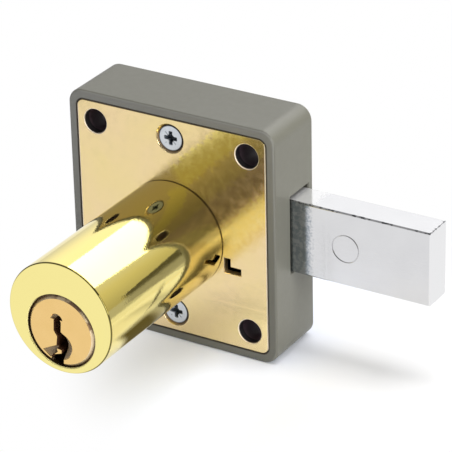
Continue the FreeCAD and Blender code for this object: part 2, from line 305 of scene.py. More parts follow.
def dark_card(name, corner, across, down, fades, glow):
    mesh = bpy.data.meshes.new(name)
    mesh.from_pydata([(0, 0, 0), (1, 0, 0), (1, 1, 0), (0, 1, 0)], [], [(0, 1, 2, 3)])
    card = bpy.data.objects.new(name, mesh)
    bpy.context.scene.collection.objects.link(card)
    across, down = Vector(across) * MM, Vector(down) * MM
    axes = Matrix((across, down, across.cross(down).normalized() * MM)).transposed()
    card.matrix_world = Matrix.Translation(Vector(corner) * MM) @ axes.to_4x4()
    finish = bpy.data.materials.new(name)
    finish.use_nodes = True
    tree = finish.node_tree
    shade = card_shader(tree, fades, glow)
    join(tree, shade, tree.nodes["Material Output"].inputs["Surface"])
    mesh.materials.append(finish)
    card.visible_camera = card.visible_diffuse = card.visible_shadow = False
    return card


low_card = dark_card("low_card", corner=(0, -5.5, -16.8), across=(24, 0, 0),
                     down=(0, -11.6, -7.3), fades=(0.17, 0.33, 0.4, 0.2), glow=WARM_MIRRORED_SHADE)
side_card = dark_card("side_card", corner=(23.5, -5.6, -3), across=(-5.5, -9.8, 0),
                      down=(0, 0, -21), fades=(0.3, 0.4, 0.3, 0.02), glow=GREY_MIRRORED_SHADE)
print("cards:", low_card.name, side_card.name)

# %% [markdown]
# ## The light
# Polished metal shows the room, so the room is the light. Behind and to the left stands
# a white wall with a soft panel in front of it: it draws the white band on the barrel.
# To the right the wall falls into half shade, and the room in front is dim, which gives
# the olive tones wherever brass mirrors the plate. A picture of a real studio wrapped
# round the scene could light it too, but a room that is shaded by direction puts each
# light and dark where this metal needs it.

# %% Shade the surround by direction
EVEN_TINT, WARM_TINT = (1, 1, 1), (1.0, 0.94, 0.64)


def room_level(tree, x, y, z):
    low_wall = slope(tree, x, -0.3, 0.5, 0.78, 0.48)
    high_wall = slope(tree, x, -0.3, 0.5, 1.3, 0.8)
    dim_room = slope(tree, x, -0.4, 0.5, 0.38, 0.14)
    wall = two_levels(tree, slope(tree, z, -0.1, 0.58), low_wall, high_wall)
    return two_levels(tree, slope(tree, y, 0.35, 0.65), dim_room, wall)


def surround():
    world = bpy.data.worlds.new("surround")
    bpy.context.scene.world = world
    world.use_nodes = True
    tree = world.node_tree
    aim = add(tree, "ShaderNodeTexCoord").outputs["Generated"]
    x, y, z = (axis_of(tree, aim, name) for name in "XYZ")
    room = tree.nodes["Background"]
    join(tree, room_level(tree, x, y, z), room.inputs["Strength"])
    tint = two_tones(tree, slope(tree, x, 0.45, 0.66), EVEN_TINT, WARM_TINT)
    join(tree, tint, room.inputs["Color"])
    white = add(tree, "ShaderNodeBackground", Color=(1, 1, 1, 1), Strength=1.0)
    seen = add(tree, "ShaderNodeLightPath").outputs["Is Camera Ray"]
    blend = two_shaders(tree, seen, room.outputs[0], white.outputs[0])
    join(tree, blend, tree.nodes["World Output"].inputs["Surface"])
    return world


print("surround:", surround().name)

# %% [markdown]
# The wall alone leaves the lock flat. Three soft panels shape it: one high behind for the
# barrel's white band, one above for the case's top and one far to the right for its side.
# A panel is an area light, because its size decides how soft a shadow's edge is.

# %% Hang the soft panels
def soft_panel(name, place, width, height, power):
    light = bpy.data.lights.new(name, "AREA")
    light.shape = "RECTANGLE"
    light.size = width
    light.size_y = height
    light.energy = power
    panel = bpy.data.objects.new(name, light)
    panel.location = place
    panel.rotation_euler = (-Vector(place)).to_track_quat("-Z", "Y").to_euler()
    bpy.context.scene.collection.objects.link(panel)
    return panel


key_panel = soft_panel("key_panel", (0.085, 0.53, 0.45), width=0.62, height=0.36, power=1.6)
key_panel.visible_diffuse = False
top_panel = soft_panel("top_panel", (0.19, 0.05, 0.67), width=0.32, height=0.52, power=3.6)
right_panel = soft_panel("right_panel", (0.75, -0.15, 0.25), width=0.4, height=0.5, power=6.0)
for panel in (key_panel, top_panel, right_panel):
    print(panel.name, [round(v, 2) for v in panel.location])

# %% [markdown]
# ## Marks on a finish
# A real finish isn't the same all over: it is darker in a hole, worn along an edge,
# stained beside a slot. Such marks could be painted in an image, but the lock's own
# coordinates give them sharper and at any size. Each helper below measures a place in
# millimetres, and slope turns that measure into a soft-edged mark.

# %% Helpers that measure a place
UPPER_LEFT, UPPER_RIGHT = (-0.5, 0, 0.87), (0.6, 0, 0.8)


def place_in_mm(tree):
    place = add(tree, "ShaderNodeTexCoord")
    scale = add(tree, "ShaderNodeVectorMath", operation="SCALE")
    scale.inputs["Scale"].default_value = 1 / MM
    join(tree, place.outputs["Object"], scale.inputs[0])
    return scale.outputs[0]


def vector_step(tree, operation, start, amount=(0, 0, 0)):
    node = add(tree, "ShaderNodeVectorMath", operation=operation)
    node.inputs[1].default_value = amount
    join(tree, start, node.inputs[0])
    return node


def folded(tree, where):
    return vector_step(tree, "ABSOLUTE", where).outputs[0]


def flat_length(tree, where):
    flat = vector_step(tree, "MULTIPLY", where, (1, 0, 1)).outputs[0]
    return vector_step(tree, "LENGTH", flat).outputs["Value"]


def off_axis(tree, where, x, z, fold=False):
    spot = folded(tree, where) if fold else where
    return flat_length(tree, vector_step(tree, "SUBTRACT", spot, (x, 0, z)).outputs[0])


def past_outline(tree, where, half_x, half_z, corner):
    inner = (half_x - corner, 0, half_z - corner)
    shift = vector_step(tree, "SUBTRACT", folded(tree, where), inner).outputs[0]
    outer = vector_step(tree, "MAXIMUM", shift).outputs[0]
    return both_of(tree, flat_length(tree, outer), steady(tree, corner), "SUBTRACT")


def along(tree, where, direction):
    return vector_step(tree, "DOT_PRODUCT", where, direction).outputs["Value"]


print("measuring helpers ready")

# %% Helpers that mark a place
def stripe(tree, value, start, end, soft):
    rise = slope(tree, value, start - soft, start + soft)
    fall = slope(tree, value, end - soft, end + soft, 1.0, 0.0)
    return both_of(tree, rise, fall)


def noise(tree, where, size_mm, detail=3.0):
    grain = add(tree, "ShaderNodeTexNoise", Scale=1 / size_mm, Detail=detail)
    join(tree, where, grain.inputs["Vector"])
    return grain.outputs["Fac"]


def shaded(tree, tone, mask, color):
    blend = add(tree, "ShaderNodeMix", data_type="RGBA")
    blend.inputs[7].default_value = (*color, 1)
    join(tree, mask, blend.inputs[0])
    join(tree, tone, blend.inputs[6])
    return blend.outputs[2]


print("marking helpers ready")

# %% Helpers for gloss and relief
def rough_range(tree, factor, shader, low, high):
    span = add(tree, "ShaderNodeMapRange")
    span.inputs["To Min"].default_value = low
    span.inputs["To Max"].default_value = high
    join(tree, factor, span.inputs["Value"])
    join(tree, span.outputs["Result"], shader.inputs["Roughness"])


def relief(tree, height, shader, depth_mm, strength=1.0):
    bump = add(tree, "ShaderNodeBump", Strength=strength, Distance=depth_mm * MM)
    join(tree, height, bump.inputs["Height"])
    join(tree, bump.outputs[0], shader.inputs["Normal"])


def dress(name, finish):
    piece = nodes[name]
    piece.data.materials.clear()
    piece.data.materials.append(finish)


print("gloss and relief helpers ready")

# %% [markdown]
# ## The grey case
# The case is a zinc casting under satin grey paint. Paint follows the fine grain of the
# casting, so a very small bump and a slow drift of tone are enough. The front rim is
# painted a little paler on the side of the light, a painted highlight, and a thin dark
# seam runs round the plate. The pocket and the screw holes are painted dark, a painted
# shade in the recesses.

# %% Mark the case's rim, seam and pocket
POCKET_X, POCKET_Z, POCKET_CORNER = 20.7, 22.4, 1.62
CASE_BACK = 14.2


# Painted highlight: the front rim is painted paler towards the upper left, the side of the
# light.
def lit_rim(tree, where, depth):
    lit_side = slope(tree, along(tree, where, UPPER_LEFT), -24, 16, 0.25, 1.0)
    return both_of(tree, slope(tree, depth, 0.04, 0.2, 1.0, 0.0), lit_side)


def plate_seam(tree, where, depth):
    past = past_outline(tree, where, POCKET_X, POCKET_Z, POCKET_CORNER)
    beside_plate = slope(tree, past, 0.14, 0.28, 1.0, 0.0)
    return both_of(tree, beside_plate, slope(tree, depth, 0.04, 0.12, 1.0, 0.0))


# Painted shade: the pocket behind the plate is painted dark, down to just short of the back.
def pocket_shade(tree, where, depth):
    x, z = axis_of(tree, where, "X", True), axis_of(tree, where, "Z", True)
    beside = slope(tree, x, POCKET_X + 0.12, POCKET_X + 0.2, 1.0, 0.0)
    between = slope(tree, z, POCKET_Z + 0.12, POCKET_Z + 0.2, 1.0, 0.0)
    below_rim = slope(tree, depth, 0.04, 0.12)
    before_back = slope(tree, depth, CASE_BACK - 0.4, CASE_BACK - 0.3, 1.0, 0.0)
    sunk = both_of(tree, below_rim, before_back)
    return both_of(tree, both_of(tree, beside, between), sunk)


print("pocket: %.1f by %.1f mm" % (2 * POCKET_X, 2 * POCKET_Z))

# %% Paint the case
HOLE_X, HOLE_Z, HOLE_R = 16.6, 18.3, 2.4
PAINTED_DEEP_SHADE, PAINTED_HOLE_SHADE = (0.03, 0.022, 0.026), (0.105, 0.065, 0.085)
PAINTED_RIM_HIGHLIGHT, SEAM_BROWN = (0.22, 0.217, 0.195), (0.035, 0.025, 0.012)


def casting_paint():
    finish, tree, shader = new_finish("casting_paint", (0.18, 0.18, 0.15), 0.0, 0.45)
    where = place_in_mm(tree)
    depth = axis_of(tree, where, "Y")
    drift = noise(tree, where, 9.0)
    tone = two_tones(tree, drift, (0.121, 0.119, 0.095), (0.131, 0.129, 0.106))
    tone = shaded(tree, tone, lit_rim(tree, where, depth), PAINTED_RIM_HIGHLIGHT)
    tone = shaded(tree, tone, plate_seam(tree, where, depth), SEAM_BROWN)
    tone = shaded(tree, tone, pocket_shade(tree, where, depth), PAINTED_DEEP_SHADE)
    # Painted shade: the walls of the corner holes are painted dark.
    from_hole = off_axis(tree, where, HOLE_X, HOLE_Z, True)
    hole_shade_mask = slope(tree, from_hole, HOLE_R + 0.02, HOLE_R + 0.1, 1.0, 0.0)
    join(tree, shaded(tree, tone, hole_shade_mask, PAINTED_HOLE_SHADE), shader.inputs["Base Color"])
    rough_range(tree, noise(tree, where, 1.5), shader, 0.38, 0.52)
    relief(tree, noise(tree, where, 0.35), shader, 0.02, 0.5)
    return finish


dress("case", casting_paint())
print("case painted")

# %% [markdown]
# ## The gilt plate
# The plate is cut from sheet, so it is drawn the same way: one flat outline with every
# hole in it, given a thickness and a softly rolled edge. A curve does all of this, and
# it is turned into a mesh once it is drawn.

# %% Draw the plate's outline and holes
PLATE_W, PLATE_H, PLATE_T = 20.58, 22.28, 1.5
PLATE_CORNER = 1.5
HOLE_EDGE = 0.12
SINK_R, SHANK_R = 2.95, 1.52
ROLL_EDGE = 0.12
BARREL_Z = -1.54
SPIGOT_HOLE_R = 9.05
SLOT_X, SLOT_Z = (11.2, 12.6, 14.9), (-7.0, -5.55, -3.9)


def arc(x, z, radius, start, end, count):
    steps = [math.radians(start + (end - start) * k / count) for k in range(count + 1)]
    return [(x + radius * math.cos(a), z + radius * math.sin(a)) for a in steps]


def circle(x, z, radius, count):
    return arc(x, z, radius, 0, 360, count)[:-1]


def sheet_outline():
    w, h, r = PLATE_W, PLATE_H, PLATE_CORNER
    top = arc(w - r, h - r, r, 0, 90, 12) + arc(r - w, h - r, r, 90, 180, 12)
    return top + arc(r - w, r - h, r, 180, 270, 12) + arc(w - r, r - h, r, 270, 360, 12)


def slot_outline():
    left, middle, right = SLOT_X
    low, step, top = SLOT_Z
    foot = [(left, low), (right, low), (right, step)]
    return foot + [(middle, step), (middle, top), (left, top)]


def plate_loops():
    loops = [sheet_outline()]
    for x in (-HOLE_X, HOLE_X):
        for z in (-HOLE_Z, HOLE_Z):
            loops.append(circle(x, z, HOLE_R + HOLE_EDGE, 64))
    for z in (-HOLE_Z, HOLE_Z):
        loops.append(circle(0, z, SINK_R, 64))
    return loops + [circle(0, BARREL_Z, SPIGOT_HOLE_R, 96), slot_outline()]


print("loops in the plate:", len(plate_loops()))

# %% Helpers that make a piece
def link_piece(name, mesh):
    piece = bpy.data.objects.new(name, mesh)
    bpy.context.scene.collection.objects.link(piece)
    return piece


def shown_mesh(piece):
    bpy.context.view_layer.update()
    ready = piece.evaluated_get(bpy.context.evaluated_depsgraph_get())
    return bpy.data.meshes.new_from_object(ready)


def smooth(mesh, sharp_degrees):
    mesh.polygons.foreach_set("use_smooth", [True] * len(mesh.polygons))
    mesh.set_sharp_from_angle(angle=math.radians(sharp_degrees))


print("piece helpers ready")

# %% Turn the outline into a sheet
def cut_sheet(name, loops, thick, edge):
    curve = bpy.data.curves.new(name, "CURVE")
    curve.dimensions = "2D"
    curve.fill_mode = "BOTH"
    curve.extrude = (thick / 2 - edge) * MM
    curve.bevel_depth = edge * MM
    curve.bevel_resolution = 3
    curve.offset = -edge * MM
    for loop in loops:
        line = curve.splines.new("POLY")
        line.points.add(len(loop) - 1)
        for point, (x, z) in zip(line.points, loop):
            point.co = (x * MM, z * MM, 0, 1)
        line.use_cyclic_u = True
    drawn = link_piece(name + "_line", curve)
    mesh = shown_mesh(drawn)
    bpy.data.objects.remove(drawn)
    upright = Matrix.Rotation(math.pi / 2, 4, "X")
    mesh.transform(Matrix.Translation((0, thick / 2 * MM, 0)) @ upright)
    mesh.materials.clear()
    smooth(mesh, 30)
    return link_piece(name, mesh)


plate = cut_sheet("plate", plate_loops(), PLATE_T, ROLL_EDGE)
print("sheet faces:", len(plate.data.polygons))

# %% [markdown]
# Each hole gets a seat of its own: a cone that opens to the front. A seat is a ring of
# points joined to the next ring, the way a lathe builds up a shape circle by circle. The
# outline's own edge could be left as it is, but a countersink has to be deeper than the
# rolled edge.

# %% Join rings into a skin
def ring_points(y, radius, height, count, side):
    steps = [2 * math.pi * k / count for k in range(count)]
    spots = [(side + radius * math.cos(a), y, height + radius * math.sin(a)) for a in steps]
    return [Vector(spot) * MM for spot in spots]


def skin(name, rings, count=256, side=0.0):
    points = [p for ring in rings for p in ring_points(*ring, count, side)]
    faces = []
    total = len(rings)
    for r in range(total):
        first, second = r * count, (r + 1) % total * count
        for k in range(count):
            other = (k + 1) % count
            faces.append((first + k, first + other, second + other, second + k))
    mesh = bpy.data.meshes.new(name)
    mesh.from_pydata(points, [], faces)
    mesh.validate()
    piece = link_piece(name, mesh)
    smooth(mesh, 25)
    return piece


print("ring helpers ready")

# %% Sink a seat round each hole
def seat(x, z, wide, narrow):
    start, lap = ROLL_EDGE - 0.02, 0.02
    deep = start + wide - narrow
    cone = [(start, wide + lap, z), (deep, narrow, z)]
    return skin("seat", cone + [(PLATE_T, narrow, z), (PLATE_T, wide + lap, z)], 64, x)


def merge(target, pieces):
    body = bmesh.new()
    body.from_mesh(target.data)
    for piece in pieces:
        body.from_mesh(piece.data)
        bpy.data.objects.remove(piece)
    body.to_mesh(target.data)
    body.free()


holes = [(x, z) for x in (-HOLE_X, HOLE_X) for z in (-HOLE_Z, HOLE_Z)]
seats = [seat(x, z, HOLE_R + HOLE_EDGE, HOLE_R) for x, z in holes]
seats += [seat(0, z, SINK_R, SHANK_R) for z in (-HOLE_Z, HOLE_Z)]
merge(plate, seats)
print("seats:", len(seats), "plate faces:", len(plate.data.polygons))

# %% [markdown]
# Rolling leaves the sheet a little less than mirror bright, so reflections stay but
# soften, and a thin clear coat lies over the gilt. Slanting bands of lemon, rose and a
# paler gold on the upper right are painted reflections of the barrel in the plate. Where
# a punch went through, the metal is rougher, and the plate's side edges and the rims of
# the corner holes get painted highlights. All of this is one material, so that one
# reflection runs across the plate.

# %% Paint the reflection bands on the gilt
LEMON, ROSE, PALE = (1.0, 0.82, 0.27), (0.77, 0.565, 0.455), (0.93, 0.78, 0.50)
BAND_ACROSS, BAND_ALONG = (-0.692, 0, 0.722), (0.722, 0, 0.692)


# Painted reflection: slanting bands of lemon, rose and pale gold stand in for the barrel
# mirrored in the plate.
def painted_reflection_bands(tree, where, tone):
    wander = both_of(tree, noise(tree, where, 1.1, 4.0), steady(tree, 4.0))
    level = both_of(tree, along(tree, where, BAND_ACROSS), wander, "ADD")
    beyond = slope(tree, along(tree, where, BAND_ALONG), 7.0, 9.5)
    lemon = stripe(tree, level, 6.2, 11.0, 0.8)
    rose = stripe(tree, level, -3.8, 1.6, 1.0)
    pale = stripe(tree, level, -8.2, -3.6, 1.2)
    for band, color in ((lemon, LEMON), (rose, ROSE), (pale, PALE)):
        tone = shaded(tree, tone, both_of(tree, band, beyond), color)
    return tone


print("bands of tint:", len((LEMON, ROSE, PALE)))

# %% Mark the painted edge highlights and the countersinks
# Painted highlight: the plate's side edges and the rims of the corner holes are painted
# bright.
def edge_highlight_mark(tree, where, from_hole):
    border = slope(tree, axis_of(tree, where, "X", True), PLATE_W - 0.22, PLATE_W - 0.16)
    ring = slope(tree, from_hole, HOLE_R + 0.22, HOLE_R + 0.26, 1.0, 0.0)
    return both_of(tree, border, ring, "MAXIMUM")


def countersink_mark(tree, where, depth):
    from_screw = off_axis(tree, where, 0, HOLE_Z, True)
    sinks = slope(tree, from_screw, SINK_R - 0.06, SINK_R, 1.0, 0.0)
    return both_of(tree, sinks, slope(tree, depth, 0.1, 0.16))


def gilt_roughness(tree, where, depth, highlit_edges):
    haze = slope(tree, noise(tree, where, 1.6, 6.0), 0.3, 0.75, 0.12, 0.26)
    punched = both_of(tree, slope(tree, depth, 0.16, 0.22), steady(tree, 0.3))
    highlit_rough = both_of(tree, highlit_edges, steady(tree, 0.45))
    return both_of(tree, both_of(tree, haze, punched, "ADD"), highlit_rough, "ADD")


print("countersinks: %.1f mm across" % (2 * SINK_R))

# %% Gild the plate
PAINTED_EDGE_HIGHLIGHT, CONE_SHADE = (1.0, 0.88, 0.70), (0.30, 0.20, 0.10)


def gilt_sheet():
    finish, tree, shader = new_finish("gilt_sheet", (0.84, 0.64, 0.34), 1.0, 0.14)
    where = place_in_mm(tree)
    depth = axis_of(tree, where, "Y")
    drift = noise(tree, where, 14.0)
    tone = two_tones(tree, drift, (0.84, 0.69, 0.27), (0.86, 0.64, 0.42))
    tone = painted_reflection_bands(tree, where, tone)
    from_hole = off_axis(tree, where, HOLE_X, HOLE_Z, True)
    highlit_edges = edge_highlight_mark(tree, where, from_hole)
    tone = shaded(tree, tone, highlit_edges, PAINTED_EDGE_HIGHLIGHT)
    tone = shaded(tree, tone, countersink_mark(tree, where, depth), CONE_SHADE)
    # Painted shade: the plate's corner holes are painted dark inside.
    hole_shade_mask = slope(tree, from_hole, HOLE_R + 0.04, HOLE_R + 0.1, 1.0, 0.0)
    join(tree, shaded(tree, tone, hole_shade_mask, PAINTED_DEEP_SHADE), shader.inputs["Base Color"])
    rough = gilt_roughness(tree, where, depth, highlit_edges)
    join(tree, rough, shader.inputs["Roughness"])
    shader.inputs["Coat Weight"].default_value = 1.0
    shader.inputs["Coat Roughness"].default_value = 0.5
    relief(tree, noise(tree, where, 0.5, 5.0), shader, 0.015, 0.5)
    return finish


plate.data.materials.append(gilt_sheet())
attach(plate, "housing")
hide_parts("cover_plate")
print("plate:", [round(v * 1000, 1) for v in plate.dimensions], "mm")

# %% [markdown]
# ## The barrel
# The barrel is turned brass, buffed to a mirror, and its five pin chambers are plugged
# and polished over. Flat facets would show at once in a mirror, so the barrel is remade
# as rings of many points joined one to the next. The bore for the plug sits off centre,
# so each ring carries its own centre height. Behind the plate a spigot with a groove
# takes the ring that holds the barrel.

# %% Turn the barrel
BARREL_R = 11.0
PLUG_Z = -4.23
FACE_Y = -38.3
EDGE, EDGE_STEPS = 0.2, 8
BORE_R, BORE_EDGE, BORE_END = 7.24, 0.2, -5.0
TAIL_R = 4.05
SPIGOT_R, SPIGOT_END = 9.0, 2.4
GROOVE_R, GROOVE_FRONT, GROOVE_BACK = 8.5, 1.55, 2.15


def barrel_rings():
    outside = [(0.0, BARREL_R - EDGE), (-EDGE, BARREL_R), (FACE_Y + EDGE, BARREL_R)]
    for k in range(1, EDGE_STEPS + 1):
        a = math.pi / 2 * k / EDGE_STEPS
        y, radius = FACE_Y + EDGE - EDGE * math.sin(a), BARREL_R - EDGE + EDGE * math.cos(a)
        outside.append((y, radius))
    bore = [(FACE_Y, BORE_R + BORE_EDGE), (FACE_Y + BORE_EDGE, BORE_R), (BORE_END, BORE_R)]
    bore += [(BORE_END, TAIL_R), (SPIGOT_END, TAIL_R)]
    spigot = [(SPIGOT_END, SPIGOT_R), (GROOVE_BACK, SPIGOT_R), (GROOVE_BACK, GROOVE_R)]
    spigot += [(GROOVE_FRONT, GROOVE_R), (GROOVE_FRONT, SPIGOT_R), (0.0, SPIGOT_R)]
    rings = [(y, radius, BARREL_Z) for y, radius in outside]
    rings += [(y, radius, PLUG_Z) for y, radius in bore]
    return rings + [(y, radius, BARREL_Z) for y, radius in spigot]


barrel = skin("barrel", barrel_rings())
print("barrel faces before drilling:", len(barrel.data.polygons))

# %% [markdown]
# The pin chambers stand in a row above the bore. Their walls could be drawn as more
# rings, but a hole that meets a round bore has a curved edge. Cutting the barrel with
# five drills gives that edge by itself: a boolean takes one shape away from another.

# %% Drill the pin chambers
PIN_ROWS = (-33.5, -29.5, -25.5, -21.5, -17.5)
CHAMBER_R, CHAMBER_LOW, CHAMBER_TOP = 1.5, 0.5, 9.0


def five_drills(radius, low, top):
    tool = bmesh.new()
    for y in PIN_ROWS:
        spot = Matrix.Translation(Vector((0, y, (low + top) / 2)) * MM)
        bmesh.ops.create_cone(tool, cap_ends=True, segments=48, radius1=radius * MM,
                              radius2=radius * MM, depth=(top - low) * MM, matrix=spot)
    mesh = bpy.data.meshes.new("drill")
    tool.to_mesh(mesh)
    tool.free()
    return link_piece("drill", mesh)


def turn_faces_out(mesh):
    body = bmesh.new()
    body.from_mesh(mesh)
    bmesh.ops.recalc_face_normals(body, faces=body.faces)
    body.to_mesh(mesh)
    body.free()


def drill(piece, cutter):
    turn_faces_out(piece.data)
    cut = piece.modifiers.new("chambers", "BOOLEAN")
    cut.object = cutter
    cut.solver = "EXACT"
    drilled = shown_mesh(piece)
    piece.modifiers.clear()
    piece.data = drilled
    bpy.data.objects.remove(cutter)


drill(barrel, five_drills(CHAMBER_R, CHAMBER_LOW, CHAMBER_TOP))
print("barrel faces:", len(barrel.data.polygons))

# %% [markdown]
# Buffed brass is almost a perfect mirror, so its roughness is very low and its colour
# comes mostly from the room. The flat face is painted a little paler, a painted light.
# A dark line round the face's rim is a painted reflection, strongest on the upper right,
# the bore's wall and its bevel on the upper right are painted dark as painted shade, and
# the foot against the plate keeps a dark joint line. These lines make the barrel look solid.

# %% Mark the barrel's corners and bore
# Painted reflection: a dark line round the face's rim, strongest on the upper right; the foot
# against the plate gets a dark joint line.
def corner_lines(tree, where, depth, front):
    upper_right_bias = slope(tree, along(tree, where, (0.75, 0, 0.66)), -6.0, -1.0, 0.2, 1.0)
    from_middle = off_axis(tree, where, 0, BARREL_Z)
    rim = both_of(tree, slope(tree, from_middle, BARREL_R - 0.26, BARREL_R - 0.16), upper_right_bias)
    foot = slope(tree, depth, -0.32, -0.24)
    return both_of(tree, both_of(tree, rim, front), foot, "MAXIMUM")


# Painted shade: the bore's wall and, on the upper right, its bevel are painted dark.
def bore_marks(tree, where):
    from_bore = off_axis(tree, where, 0, PLUG_Z)
    wall = slope(tree, from_bore, BORE_R + 0.01, BORE_R + 0.04, 1.0, 0.0)
    bevel = slope(tree, from_bore, BORE_R + 0.16, BORE_R + 0.2, 1.0, 0.0)
    high_side = slope(tree, along(tree, where, UPPER_RIGHT), -5.0, -1.0)
    return both_of(tree, wall, both_of(tree, bevel, high_side), "MAXIMUM"), bevel


print("bore: %.2f mm across" % (2 * BORE_R))

# %% Polish the barrel
PAINTED_FACE_LIGHT, PAINTED_RIM_AND_JOINT_LINE = (0.92, 0.81, 0.32), (0.20, 0.165, 0.045)
PAINTED_BORE_SHADE = (0.05, 0.028, 0.012)


def mirror_brass():
    finish, tree, shader = new_finish("mirror_brass", (0.87, 0.73, 0.26), 1.0, 0.04)
    where = place_in_mm(tree)
    depth = axis_of(tree, where, "Y")
    drift = noise(tree, where, 12.0)
    tone = two_tones(tree, drift, (0.84, 0.70, 0.25), (0.86, 0.74, 0.28))
    front = slope(tree, depth, FACE_Y + 0.22, FACE_Y + 0.32, 1.0, 0.0)
    # Painted light: the flat face is painted a little paler than the side.
    tone = shaded(tree, tone, front, PAINTED_FACE_LIGHT)
    tone = shaded(tree, tone, corner_lines(tree, where, depth, front), PAINTED_RIM_AND_JOINT_LINE)
    bore, bevel = bore_marks(tree, where)
    join(tree, shaded(tree, tone, bore, PAINTED_BORE_SHADE), shader.inputs["Base Color"])
    join(tree, slope(tree, bevel, 0.0, 1.0, 1.0, 0.2), shader.inputs["Metallic"])
    rough_range(tree, noise(tree, where, 2.0), shader, 0.03, 0.06)
    relief(tree, noise(tree, where, 0.45, 5.0), shader, 0.008, 1.0)
    return finish


polished = mirror_brass()
barrel.data.materials.append(polished)
for number in range(1, 6):
    dress("chamber_plug_%d" % number, polished)
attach(barrel, "housing")
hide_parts("cylinder_body")
print("barrel:", [round(v * 1000, 1) for v in barrel.dimensions], "mm")

# %% [markdown]
# ## The plug
# The plug is turned from a redder brass and left as the tool cut it, so it is duller
# than the barrel. Its lip is painted paler, a painted highlight, and darker in blotches
# on the upper right. The milled mouth is rougher, less metallic and painted darker, a
# painted shade, and the keyway is painted dark with depth. Light alone would darken it
# too, but only slowly, so the material helps.

# %% Mark the plug's lip, mouth and keyway
PLUG_R = 7.2


# The lip's upper right is darker in blotches.
def lip_blotches(tree, where, lip):
    high_side = slope(tree, along(tree, where, UPPER_RIGHT), 0.0, 2.0)
    blotchy = both_of(tree, lip, slope(tree, noise(tree, where, 1.4), 0.40, 0.60))
    return both_of(tree, blotchy, high_side)


# Painted shade: the sunk mouth is painted darker.
def milled_mouth(tree, from_middle, depth):
    sunk = slope(tree, depth, FACE_Y + 0.05, FACE_Y + 0.15)
    inner = slope(tree, from_middle, PLUG_R - 0.9, PLUG_R - 0.75, 1.0, 0.0)
    return both_of(tree, sunk, inner)


def keyway_walls(tree, where, mouth):
    facing = add(tree, "ShaderNodeTexCoord").outputs["Normal"]
    upright = slope(tree, axis_of(tree, facing, "Y", True), 0.05, 0.15, 1.0, 0.0)
    low_part = slope(tree, axis_of(tree, where, "Z"), -2.1, -2.0, 1.0, 0.0)
    return both_of(tree, both_of(tree, upright, low_part), mouth)


print("plug: %.1f mm across" % (2 * PLUG_R))

# %% Turn the plug
PAINTED_LIP_HIGHLIGHT, LIP_BLOTCH_BROWN = (1.0, 0.80, 0.52), (0.42, 0.27, 0.16)
PAINTED_MOUTH_SHADE, PAINTED_KEYWAY_SHADE = (0.30, 0.21, 0.11), (0.09, 0.036, 0.017)


def turned_brass():
    finish, tree, shader = new_finish("turned_brass", (0.85, 0.58, 0.27), 1.0, 0.2)
    where = place_in_mm(tree)
    depth = axis_of(tree, where, "Y")
    from_middle = off_axis(tree, where, 0, PLUG_Z)
    drift = noise(tree, where, 2.5)
    tone = two_tones(tree, drift, (0.82, 0.55, 0.21), (0.88, 0.60, 0.25))
    # Painted highlight: the lip is painted paler.
    lip = slope(tree, from_middle, PLUG_R - 0.72, PLUG_R - 0.66)
    tone = shaded(tree, tone, lip, PAINTED_LIP_HIGHLIGHT)
    tone = shaded(tree, tone, lip_blotches(tree, where, lip), LIP_BLOTCH_BROWN)
    mouth = milled_mouth(tree, from_middle, depth)
    tone = shaded(tree, tone, mouth, PAINTED_MOUTH_SHADE)
    # Painted shade: the keyway walls and everything deeper than the face are painted dark.
    below = slope(tree, depth, FACE_Y + 0.8, FACE_Y + 1.5)
    deep = both_of(tree, keyway_walls(tree, where, mouth), below, "MAXIMUM")
    join(tree, shaded(tree, tone, deep, PAINTED_KEYWAY_SHADE), shader.inputs["Base Color"])
    join(tree, slope(tree, mouth, 0.0, 1.0, 1.0, 0.15), shader.inputs["Metallic"])
    polish = slope(tree, noise(tree, where, 0.8), 0.2, 0.8, 0.08, 0.16)
    coarse = both_of(tree, mouth, steady(tree, 0.35))
    dull = both_of(tree, coarse, both_of(tree, lip, steady(tree, 0.3)), "ADD")
    join(tree, both_of(tree, polish, dull, "ADD"), shader.inputs["Roughness"])
    relief(tree, noise(tree, where, 0.25), shader, 0.01, 0.3)
    return finish


warm = turned_brass()
dress("plug", warm)
for number in range(1, 6):
    dress("key_pin_%d" % number, warm)
print("plug dressed")

# %% [markdown]
# ## The bolt
# The bolt is steel with a satin nickel plating: nearly white, with a soft sheen and a
# faint grain from the grinding belt that ran along it. The sharp upper edges get a ragged
# dark line. Beside the case the metal is painted darker and bluer in blotches, a painted
# reflection of the case's grey side, and the end face is painted a little paler, a
# painted light. These marks could be separate decals, but marks in one material can't
# come loose.

# %% Mark the bolt's edges and its ring
BOLT_FRONT, BOLT_TOP, BOLT_END = 5.95, 8.21, 51.5
MARK_X, MARK_Z, MARK_R = 34.0, 0.85, 2.9


# The sharp upper edges get a ragged dark line.
def ragged_dark_edges(tree, where):
    above_edge = both_of(tree, axis_of(tree, where, "Z"), steady(tree, BOLT_TOP), "SUBTRACT")
    behind = both_of(tree, axis_of(tree, where, "Y"), steady(tree, BOLT_FRONT), "SUBTRACT")
    before_end = both_of(tree, steady(tree, BOLT_END), axis_of(tree, where, "X"), "SUBTRACT")
    long_edge = both_of(tree, behind, above_edge, "SUBTRACT")
    end_edge = both_of(tree, before_end, above_edge, "SUBTRACT")
    near = both_of(tree, long_edge, end_edge, "MINIMUM")
    ragged = slope(tree, noise(tree, where, 0.6, 4.0), 0.35, 0.65, 0.04, 0.32)
    return both_of(tree, near, ragged, "LESS_THAN")


